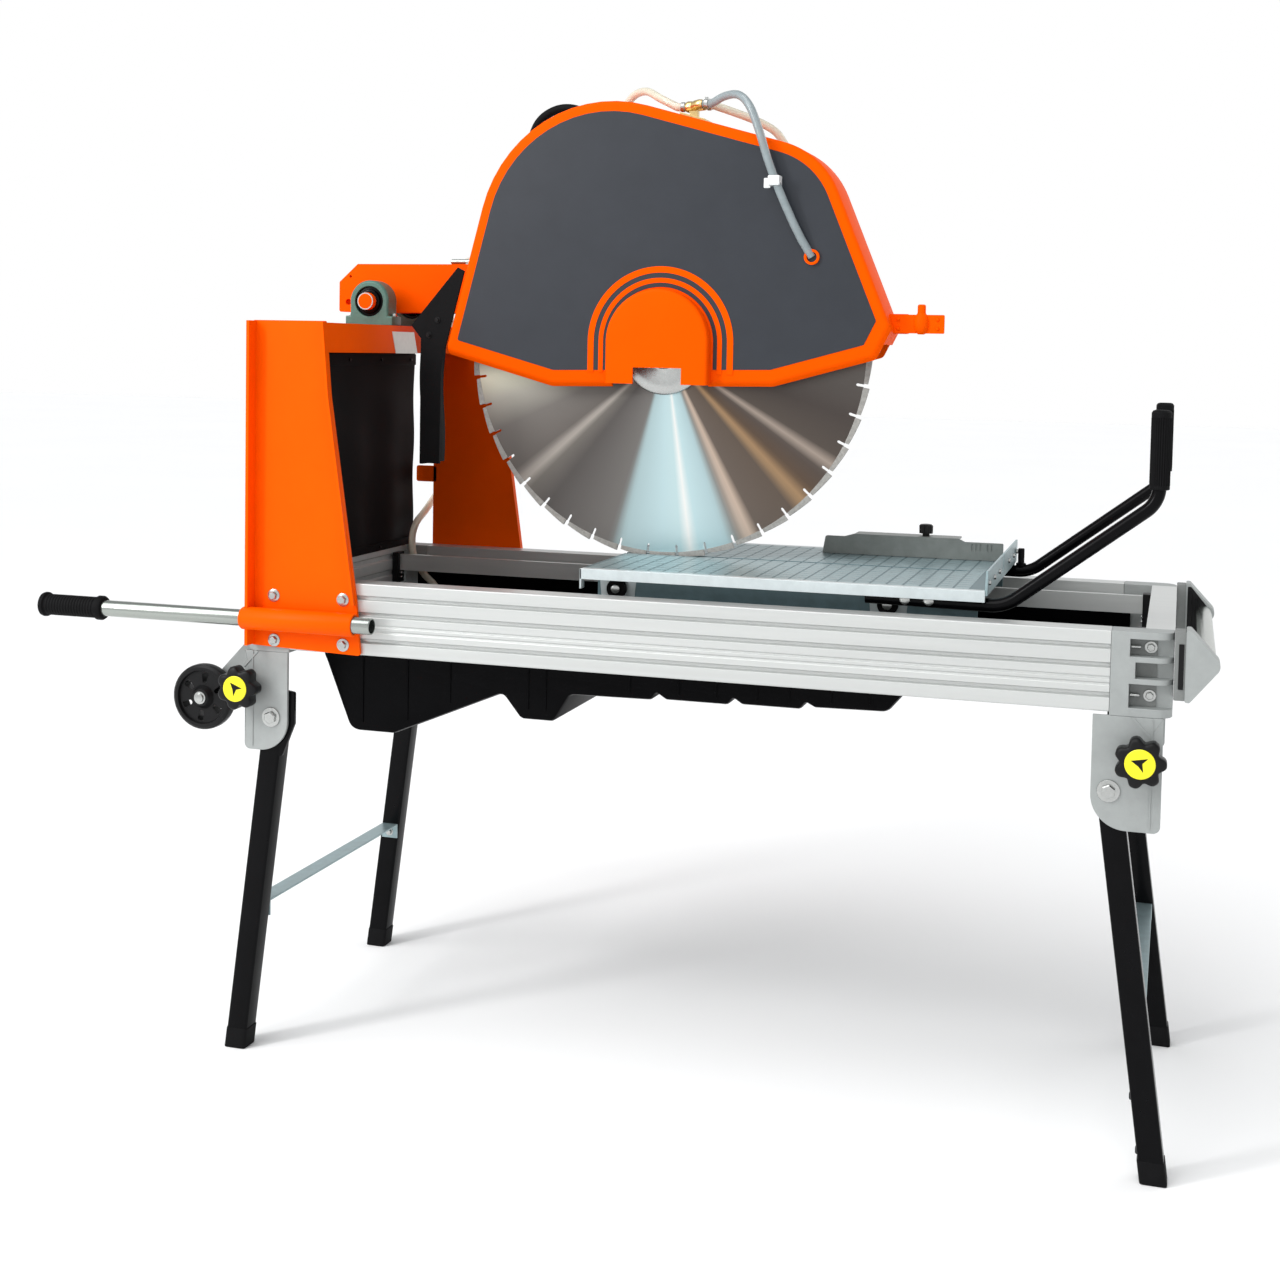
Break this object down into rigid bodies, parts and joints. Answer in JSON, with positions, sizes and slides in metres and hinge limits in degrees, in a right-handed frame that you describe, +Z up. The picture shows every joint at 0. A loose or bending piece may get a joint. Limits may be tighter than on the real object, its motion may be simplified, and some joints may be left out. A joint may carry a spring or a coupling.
{
  "type": "masonry saw",
  "caption": "Bench saw on folding legs: a hooded stone-cutting blade on a tilting arm over a rolling cart and a water tank.",
  "frame": {"origin": "middle of the footprint of the whole saw, on the floor that the legs stand on", "axes": "+X along the rails from the pivot end to the operator end; +Y across the saw, from the near rail to the motor side; +Z up"},
  "size_m": [1.8913, 0.723, 1.622],
  "materials": {
    "orange_paint": "gloss powder coat",
    "anodised_aluminium": "matt anodised extrusion",
    "cast_grey": "sand-blasted casting",
    "galvanised_steel": "galvanised sheet",
    "bright_steel": "ground steel",
    "black_paint": "satin powder coat",
    "black_plastic": "moulded",
    "black_rubber": "matt",
    "bearing_green": "painted casting",
    "motor_grey": "painted",
    "clear_pvc": "translucent hose",
    "button_green": "moulded",
    "button_red": "moulded"
  },
  "bodies": {
    "frame": {"front_rail": "anodised_aluminium", "rear_rail": "anodised_aluminium", "left_end_beam": "anodised_aluminium", "right_end_beam": "anodised_aluminium", "leg_bracket_left_front": "cast_grey", "leg_bracket_left_rear": "cast_grey", "leg_bracket_right_front": "cast_grey", "leg_bracket_right_rear": "cast_grey", "lifting_nose": "cast_grey", "guide_rail_front": "galvanised_steel", "guide_rail_rear": "galvanised_steel", "water_tank": "black_plastic", "water_pump": "black_plastic", "pump_hose": "clear_pvc", "front_upright": "orange_paint", "rear_upright": "orange_paint", "cross_beam": "orange_paint", "splash_curtain": "black_rubber", "front_pillow_block": "bearing_green", "rear_pillow_block": "bearing_green"},
    "head": {"pivot_shaft": "bright_steel", "saw_arm": "orange_paint", "blade_guard": "orange_paint", "motor_housing": "motor_grey", "fan_cowl": "black_paint", "switch_box": "black_plastic", "rubber_flap": "black_rubber", "hose_tee": "black_plastic", "supply_hose": "clear_pvc", "front_hose": "clear_pvc", "rear_hose": "clear_pvc", "motor_cable": "black_rubber"},
    "spindle": {"saw_blade": "bright_steel", "outer_flange": "bright_steel", "motor_shaft": "bright_steel"},
    "start_key": {"start_button": "button_green"},
    "stop_key": {"stop_button": "button_red"},
    "cart": {"cart_table": "galvanised_steel", "cart_handle_front": "black_paint", "cart_handle_rear": "black_paint"},
    "fence_slider": {"fence": "galvanised_steel"},
    "fence_clamp": {"fence_knob": "black_plastic"},
    "left_legs": {"leg_left_front": "black_paint", "leg_left_rear": "black_paint", "leg_brace_left": "galvanised_steel"},
    "right_legs": {"leg_right_front": "black_paint", "leg_right_rear": "black_paint", "leg_brace_right": "galvanised_steel"},
    "left_front_roller": {"roller_left_front": "black_rubber"},
    "left_rear_roller": {"roller_left_rear": "black_rubber"},
    "right_front_roller": {"roller_right_front": "black_rubber"},
    "right_rear_roller": {"roller_right_rear": "black_rubber"},
    "left_front_lock_knob": {"lock_knob_left_front": "black_plastic"},
    "left_rear_lock_knob": {"lock_knob_left_rear": "black_plastic"},
    "right_front_lock_knob": {"lock_knob_right_front": "black_plastic"},
    "right_rear_lock_knob": {"lock_knob_right_rear": "black_plastic"},
    "front_transport_wheel": {"transport_wheel_front": "black_plastic"},
    "rear_transport_wheel": {"transport_wheel_rear": "black_plastic"},
    "front_carry_handle": {"carry_handle_front": "bright_steel"},
    "rear_carry_handle": {"carry_handle_rear": "bright_steel"}
  },
  "joints": [
    {"name": "head_tilt", "type": "hinge", "parent": "frame", "child": "head", "pos_m": [-0.493, -0.0235, 1.2535], "axis": [0, -1, 0], "range_deg": [0, 18]},
    {"name": "blade_spin", "type": "hinge", "parent": "head", "child": "spindle", "pos_m": [0.048, -0.0235, 1.176], "axis": [0, 1, 0], "continuous": true},
    {"name": "start_press", "type": "slide", "parent": "head", "child": "start_key", "axis": [0, -1, 0], "range_m": [0, 0.0035], "stiffness_N_per_m": 400},
    {"name": "stop_press", "type": "slide", "parent": "head", "child": "stop_key", "axis": [0, -1, 0], "range_m": [0, 0.0035], "stiffness_N_per_m": 400},
    {"name": "cart_roll", "type": "slide", "parent": "frame", "child": "cart", "axis": [1, 0, 0], "range_m": [-0.43, 0.2]},
    {"name": "fence_shift", "type": "slide", "parent": "cart", "child": "fence_slider", "axis": [0, 1, 0], "range_m": [-0.13, 0.035]},
    {"name": "fence_clamp_turn", "type": "hinge", "parent": "fence_slider", "child": "fence_clamp", "pos_m": [0.468, 0.1485, 0.868], "axis": [0, 0, 1], "continuous": true},
    {"name": "left_legs_fold", "type": "hinge", "parent": "frame", "child": "left_legs", "pos_m": [-0.529, -0.0235, 0.565], "axis": [0, -1, 0], "range_deg": [0, 96]},
    {"name": "right_legs_fold", "type": "hinge", "parent": "frame", "child": "right_legs", "pos_m": [0.799, -0.0235, 0.565], "axis": [0, 1, 0], "range_deg": [0, 97]},
    {"name": "roller_left_front_spin", "type": "hinge", "parent": "cart", "child": "left_front_roller", "pos_m": [0.032, -0.2235, 0.7978], "axis": [0, 1, 0], "continuous": true},
    {"name": "roller_left_rear_spin", "type": "hinge", "parent": "cart", "child": "left_rear_roller", "pos_m": [0.032, 0.1765, 0.7978], "axis": [0, 1, 0], "continuous": true},
    {"name": "roller_right_front_spin", "type": "hinge", "parent": "cart", "child": "right_front_roller", "pos_m": [0.464, -0.2235, 0.7978], "axis": [0, 1, 0], "continuous": true},
    {"name": "roller_right_rear_spin", "type": "hinge", "parent": "cart", "child": "right_rear_roller", "pos_m": [0.464, 0.1765, 0.7978], "axis": [0, 1, 0], "continuous": true},
    {"name": "lock_knob_left_front_turn", "type": "hinge", "parent": "frame", "child": "left_front_lock_knob", "pos_m": [-0.5715, -0.3165, 0.616], "axis": [0, -1, 0], "continuous": true},
    {"name": "lock_knob_left_rear_turn", "type": "hinge", "parent": "frame", "child": "left_rear_lock_knob", "pos_m": [-0.5715, 0.2695, 0.616], "axis": [0, 1, 0], "continuous": true},
    {"name": "lock_knob_right_front_turn", "type": "hinge", "parent": "frame", "child": "right_front_lock_knob", "pos_m": [0.8415, -0.3165, 0.616], "axis": [0, -1, 0], "continuous": true},
    {"name": "lock_knob_right_rear_turn", "type": "hinge", "parent": "frame", "child": "right_rear_lock_knob", "pos_m": [0.8415, 0.2695, 0.616], "axis": [0, 1, 0], "continuous": true},
    {"name": "transport_wheel_front_spin", "type": "hinge", "parent": "frame", "child": "front_transport_wheel", "pos_m": [-0.666, -0.2935, 0.585], "axis": [0, 1, 0], "continuous": true},
    {"name": "transport_wheel_rear_spin", "type": "hinge", "parent": "frame", "child": "rear_transport_wheel", "pos_m": [-0.666, 0.2465, 0.585], "axis": [0, 1, 0], "continuous": true},
    {"name": "carry_handle_front_slide", "type": "slide", "parent": "frame", "child": "front_carry_handle", "axis": [1, 0, 0], "range_m": [0, 0.256]},
    {"name": "carry_handle_rear_slide", "type": "slide", "parent": "frame", "child": "rear_carry_handle", "axis": [1, 0, 0], "range_m": [-0.256, 0]}
  ],
  "couplings": [
    {"joint": "roller_left_front_spin", "follows": "cart_roll", "rad_per_m": 64.516},
    {"joint": "roller_left_rear_spin", "follows": "cart_roll", "rad_per_m": 64.516},
    {"joint": "roller_right_front_spin", "follows": "cart_roll", "rad_per_m": 64.516},
    {"joint": "roller_right_rear_spin", "follows": "cart_roll", "rad_per_m": 64.516}
  ]
}
